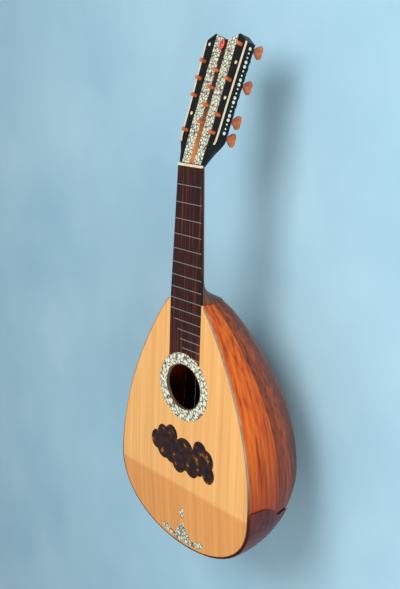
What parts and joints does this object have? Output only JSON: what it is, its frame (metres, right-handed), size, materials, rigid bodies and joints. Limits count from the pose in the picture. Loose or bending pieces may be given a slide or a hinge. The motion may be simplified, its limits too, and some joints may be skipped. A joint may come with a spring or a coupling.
{
  "type": "mandolone",
  "caption": "Bowl-back bass mandolin with an oval sound hole, inlaid soundboard, fretted neck and rear friction pegs.",
  "frame": {"origin": "on the soundboard, where the bridge line crosses the centre line", "axes": "+Z out of the soundboard, +Y along the neck to the head, +X to the treble side"},
  "size_m": [0.3732, 0.8978, 0.2093],
  "materials": {
    "spruce": "varnished spruce",
    "side_rib": "glossy varnish",
    "back_rib": "glossy varnish",
    "cap": "glossy varnish",
    "inner_wood": "bare wood",
    "bone": "polished bone",
    "pearl": "mother-of-pearl",
    "tortoise": "polished shell",
    "rosewood": "oiled",
    "neck_wood": "satin varnish",
    "ebony": "polished",
    "peg_wood": "polished"
  },
  "bodies": {
    "instrument": {"soundboard": "spruce", "edge_binding": "bone", "rosette": "pearl", "hole_lining": "inner_wood", "pickguard": "tortoise", "crest_lozenge": "pearl", "crest_cluster": "pearl", "rib_side_treble": "side_rib", "rib_side_bass": "side_rib", "tail_cap": "cap", "tail_block": "inner_wood", "neck_block": "inner_wood", "lining_treble": "inner_wood", "lining_bass": "inner_wood", "brace_upper": "inner_wood", "brace_middle": "inner_wood", "brace_lower": "inner_wood", "neck": "neck_wood", "fretboard": "rosewood", "nut": "bone", "head": "ebony", "head_veneer": "ebony", "head_stripe": "tortoise", "pearl_strip_treble": "pearl", "pearl_strip_bass": "pearl", "edge_line_treble": "bone", "edge_line_bass": "bone", "rib_01": "back_rib", "rib_02": "back_rib", "rib_03": "back_rib", "rib_04": "back_rib", "rib_05": "back_rib", "rib_06": "back_rib", "rib_07": "back_rib", "rib_08": "back_rib", "rib_09": "back_rib", "rib_10": "back_rib", "rib_11": "back_rib", "rib_12": "back_rib", "rib_13": "back_rib", "rib_14": "back_rib", "rib_15": "back_rib", "rib_16": "back_rib", "rib_17": "back_rib", "rib_18": "back_rib", "rib_19": "back_rib", "rib_20": "back_rib", "rib_21": "back_rib"},
    "peg_treble_1": {"peg_treble_1": "peg_wood"},
    "peg_treble_2": {"peg_treble_2": "peg_wood"},
    "peg_treble_4": {"peg_treble_4": "peg_wood"},
    "peg_treble_6": {"peg_treble_6": "peg_wood"},
    "peg_bass_1": {"peg_bass_1": "peg_wood"},
    "peg_bass_3": {"peg_bass_3": "peg_wood"},
    "peg_bass_4": {"peg_bass_4": "peg_wood"},
    "peg_bass_5": {"peg_bass_5": "peg_wood"},
    "peg_middle_1": {"peg_middle_1": "peg_wood"},
    "peg_middle_2": {"peg_middle_2": "peg_wood"},
    "peg_middle_3": {"peg_middle_3": "peg_wood"},
    "peg_middle_4": {"peg_middle_4": "peg_wood"}
  },
  "joints": [
    {"name": "peg_treble_1_turn", "type": "hinge", "parent": "instrument", "child": "peg_treble_1", "pos_m": [0.0365, 0.61681, -0.02], "axis": [0, 0.309, 0.9511], "continuous": true},
    {"name": "peg_treble_2_turn", "type": "hinge", "parent": "instrument", "child": "peg_treble_2", "pos_m": [0.0375, 0.64505, -0.02917], "axis": [0, 0.309, 0.9511], "continuous": true},
    {"name": "peg_treble_4_turn", "type": "hinge", "parent": "instrument", "child": "peg_treble_4", "pos_m": [0.0395, 0.70155, -0.04753], "axis": [0, 0.309, 0.9511], "continuous": true},
    {"name": "peg_treble_6_turn", "type": "hinge", "parent": "instrument", "child": "peg_treble_6", "pos_m": [0.0415, 0.75804, -0.06588], "axis": [0, 0.309, 0.9511], "continuous": true},
    {"name": "peg_bass_1_turn", "type": "hinge", "parent": "instrument", "child": "peg_bass_1", "pos_m": [-0.0365, 0.61681, -0.02], "axis": [0, 0.309, 0.9511], "continuous": true},
    {"name": "peg_bass_3_turn", "type": "hinge", "parent": "instrument", "child": "peg_bass_3", "pos_m": [-0.0385, 0.6733, -0.03835], "axis": [0, 0.309, 0.9511], "continuous": true},
    {"name": "peg_bass_4_turn", "type": "hinge", "parent": "instrument", "child": "peg_bass_4", "pos_m": [-0.0395, 0.70155, -0.04753], "axis": [0, 0.309, 0.9511], "continuous": true},
    {"name": "peg_bass_5_turn", "type": "hinge", "parent": "instrument", "child": "peg_bass_5", "pos_m": [-0.0405, 0.72979, -0.05671], "axis": [0, 0.309, 0.9511], "continuous": true},
    {"name": "peg_middle_1_turn", "type": "hinge", "parent": "instrument", "child": "peg_middle_1", "pos_m": [0, 0.63093, -0.02458], "axis": [0, 0.309, 0.9511], "continuous": true},
    {"name": "peg_middle_2_turn", "type": "hinge", "parent": "instrument", "child": "peg_middle_2", "pos_m": [0, 0.65918, -0.03376], "axis": [0, 0.309, 0.9511], "continuous": true},
    {"name": "peg_middle_3_turn", "type": "hinge", "parent": "instrument", "child": "peg_middle_3", "pos_m": [0, 0.68742, -0.04294], "axis": [0, 0.309, 0.9511], "continuous": true},
    {"name": "peg_middle_4_turn", "type": "hinge", "parent": "instrument", "child": "peg_middle_4", "pos_m": [0, 0.71567, -0.05212], "axis": [0, 0.309, 0.9511], "continuous": true}
  ]
}
